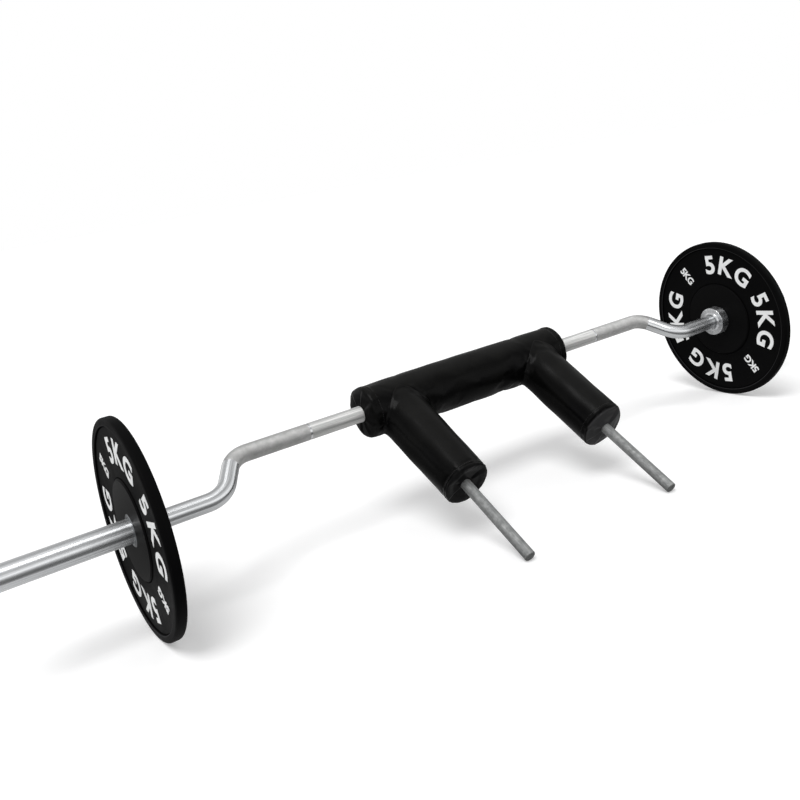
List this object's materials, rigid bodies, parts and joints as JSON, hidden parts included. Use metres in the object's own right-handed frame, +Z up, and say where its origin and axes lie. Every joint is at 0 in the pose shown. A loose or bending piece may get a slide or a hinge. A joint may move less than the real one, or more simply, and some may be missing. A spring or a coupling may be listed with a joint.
{
  "type": "safety squat bar",
  "caption": "Cambered barbell with a padded neck roll and two padded arms ending in handles, and a bumper plate on each spinning sleeve.",
  "frame": {"origin": "on the floor, at the middle of the footprint of the bar standing on its plates and handle tips", "axes": "+X along the bar, +Y from the handles towards the neck pad, +Z up"},
  "size_m": [2.27, 0.5902, 0.45],
  "materials": {
    "knurled_chrome": "knurled middle length, polished cranks",
    "chrome": "polished",
    "satin_chrome": "satin",
    "steel": "machined",
    "bronze": "machined",
    "vinyl": "fine grained black upholstery vinyl, semi-gloss",
    "foam": "open-cell foam",
    "rubber": "matte moulded rubber with white raised figures",
    "cap_plastic": "moulded"
  },
  "bodies": {
    "bar": {"shaft": "knurled_chrome", "neck_foam": "foam", "neck_cover": "vinyl", "handle_left": "satin_chrome", "handle_weld_left": "steel", "arm_foam_left": "foam", "arm_cover_left": "vinyl", "handle_right": "satin_chrome", "handle_weld_right": "steel", "arm_foam_right": "foam", "arm_cover_right": "vinyl", "spindle_left": "steel", "retaining_washer_left": "steel", "retaining_bolt_left": "steel", "spindle_right": "steel", "retaining_washer_right": "steel", "retaining_bolt_right": "steel"},
    "sleeve_left": {"sleeve_left": "chrome", "collar_left": "chrome", "inner_bush_left": "bronze", "outer_bush_left": "bronze", "thrust_washer_left": "bronze", "end_cap_left": "cap_plastic"},
    "sleeve_right": {"sleeve_right": "chrome", "collar_right": "chrome", "inner_bush_right": "bronze", "outer_bush_right": "bronze", "thrust_washer_right": "bronze", "end_cap_right": "cap_plastic"},
    "plate_left": {"plate_left": "rubber", "plate_hub_left": "chrome"},
    "plate_right": {"plate_right": "rubber", "plate_hub_right": "chrome"}
  },
  "joints": [
    {"name": "sleeve_spin_left", "type": "hinge", "parent": "bar", "child": "sleeve_left", "pos_m": [-0.85, 0.07013, 0.225], "axis": [-1, 0, 0], "continuous": true},
    {"name": "sleeve_spin_right", "type": "hinge", "parent": "bar", "child": "sleeve_right", "pos_m": [0.85, 0.07013, 0.225], "axis": [1, 0, 0], "continuous": true},
    {"name": "plate_slide_left", "type": "slide", "parent": "sleeve_left", "child": "plate_left", "axis": [-1, 0, 0], "range_m": [0, 0.31]},
    {"name": "plate_slide_right", "type": "slide", "parent": "sleeve_right", "child": "plate_right", "axis": [1, 0, 0], "range_m": [0, 0.31]}
  ]
}
